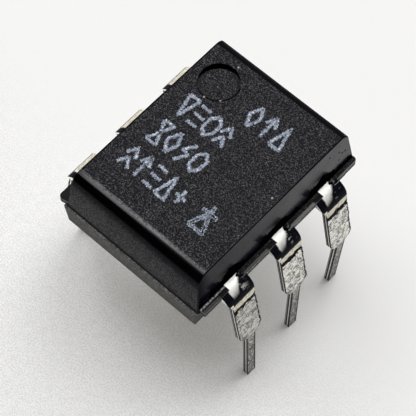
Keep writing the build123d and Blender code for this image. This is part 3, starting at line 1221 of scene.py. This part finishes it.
@dataclass(frozen=True)
class Camera:
    """The camera, by where it stands around the part."""

    azimuth: float = 42.132
    elevation: float = 62.158
    roll: float = 0.253
    distance: float = 69.185
    lens: float = 159.45
    sensor: float = 36.0
    clip: tuple[float, float] = (0.001, 10.0)
    target: Point = (0.13, 0.0, 4.0)
    aim_right: float = -0.1074
    aim_up: float = 0.0636

    def build(self) -> None:
        """Makes the camera and gives it to the scene."""
        turn, tip = math.radians(self.azimuth), math.radians(self.roll)
        back = way_to(self.azimuth, self.elevation)
        level = Vector((math.cos(turn), math.sin(turn), 0))
        rise = back.cross(level)
        right = math.cos(tip) * level + math.sin(tip) * rise
        up = math.cos(tip) * rise - math.sin(tip) * level
        aim = Vector(self.target) + right * self.aim_right + up * self.aim_up
        data = bpy.data.cameras.new("camera")
        data.lens = self.lens
        data.sensor_width = self.sensor
        data.clip_start, data.clip_end = self.clip
        made = link("camera", data)
        turned = Matrix((right, up, back)).transposed().to_4x4()
        made.matrix_world = Matrix.Translation((aim + back * self.distance) * MM) @ turned
        bpy.context.scene.camera = made


@dataclass(frozen=True)
class Lamp:
    """One broad lamp far away, with its way in degrees, its power and its spread."""

    name: str
    azimuth: float
    elevation: float
    energy: float
    spread: float = 40.0

    def build(self) -> None:
        """Adds the lamp to the scene."""
        data = bpy.data.lights.new(self.name, "SUN")
        data.energy = self.energy
        data.angle = math.radians(self.spread)
        way = way_to(self.azimuth, self.elevation)
        link(self.name, data).rotation_euler = way.to_track_quat("Z", "Y").to_euler()


@dataclass(frozen=True)
class Studio:
    """A pale paper floor under three broad lamps, with a low even fill."""

    floor_radius: float = 600.0
    floor_colour: Colour = (0.92, 0.919, 0.916)
    pale: Colour = (1.0, 1.0, 0.995)
    backdrop: float = 0.92
    fill: float = 0.92
    fill_band: tuple[float, float] = (0.3, 0.6)
    fill_tint: Colour = (1.02, 1.0, 0.95)
    sky_tint: Colour = (0.98, 0.985, 1.04)
    sky: float = 2.0
    sky_way: Point = (-0.1, 0.33, 0.88)
    sky_power: float = 10.0
    dim: float = 0.03
    lamps: tuple[Lamp, ...] = (
        Lamp("overhead", 180.0, 80.0, 1.06),
        Lamp("far_window", 180.0, 55.0, 0.82),
        Lamp("left_window", 270.0, 55.0, 0.88),
    )

    def build(self) -> None:
        """Makes the floor, the world and the lamps, and has colours shown plainly."""
        bpy.context.scene.view_settings.view_transform = "Standard"
        self._floor()
        self._world()
        for lamp in self.lamps:
            lamp.build()

    def _floor(self) -> None:
        """Makes the floor that the lead tips stand on, fibrous towards the front."""
        mesh = bpy.data.meshes.new("floor")
        shape = bmesh.new()
        bmesh.ops.create_circle(shape, cap_ends=True, segments=96, radius=self.floor_radius * MM)
        shape.to_mesh(mesh)
        shape.free()
        paint = Paint("floor_paper")
        fibre = paint.grain(0.06, 2.0, 0.6) * 0.85 + paint.grain(0.3, 2.0, shift=36) * 0.15
        paper = paint.mix(fibre.step(0.36, 0.64), self.pale, scaled(self.floor_colour, 0.84))
        paint.tone = paint.mix(paint.along.step(3.5, -5.5), self.floor_colour, paper)
        mesh.materials.append(paint.finish(Roughness=0.9))
        link("floor", mesh)

    def _world(self) -> None:
        """Makes an even backdrop for the camera, a low fill, and a sky for reflections."""
        world = bpy.data.worlds.new("surroundings")
        world.use_nodes = True
        bpy.context.scene.world = world
        graph = Graph(world.node_tree)
        way = graph.value("ShaderNodeTexCoord", out="Generated")
        height = graph.value("ShaderNodeSeparateXYZ", {0: way}, 2)
        aim = Vector(self.sky_way).normalized()
        inputs = {0: way, 1: aim}
        toward = graph.value("ShaderNodeVectorMath", inputs, "Value", operation="DOT_PRODUCT")
        sky = toward.math("MAXIMUM", 0.0).math("POWER", self.sky_power) * self.sky + self.dim
        low, high = self.fill_band
        band = height.math("GREATER_THAN", low) * height.math("LESS_THAN", high) * self.fill
        shown = graph.value("ShaderNodeLightPath", out="Is Glossy Ray")
        seen = graph.value("ShaderNodeLightPath", out="Is Camera Ray")
        strength = (band * (1 - shown) + sky * shown) * (1 - seen) + seen * self.backdrop
        tint = graph.mix(shown, graph.mix(seen, self.fill_tint, (1.0, 1.0, 1.0)), self.sky_tint)
        shader = graph.node("ShaderNodeBackground", {"Color": tint, "Strength": strength})
        graph.node("ShaderNodeOutputWorld", {"Surface": shader.outputs[0]})


def main() -> None:
    """Builds and dresses the part, piece by piece, and sets the scene around it."""
    logging.basicConfig(level=logging.INFO, format="%(name)s: %(message)s")
    tin = Tin().material()
    pieces = [Moulding().build()]
    pieces += [Lead(number).build(tin) for number in range(1, 7)]
    pieces.append(Marks().build(Ink().material()))
    for crumbs in CRUMBS:
        pieces.append(crumbs.build(bpy.data.materials[crumbs.zone.value]))
    for piece in pieces:
        LOG.info("%s: %d faces", piece.name, len(piece.data.polygons))
    SealedParts().dress()
    Camera().build()
    Studio().build()


if __name__ == "__main__":
    main()
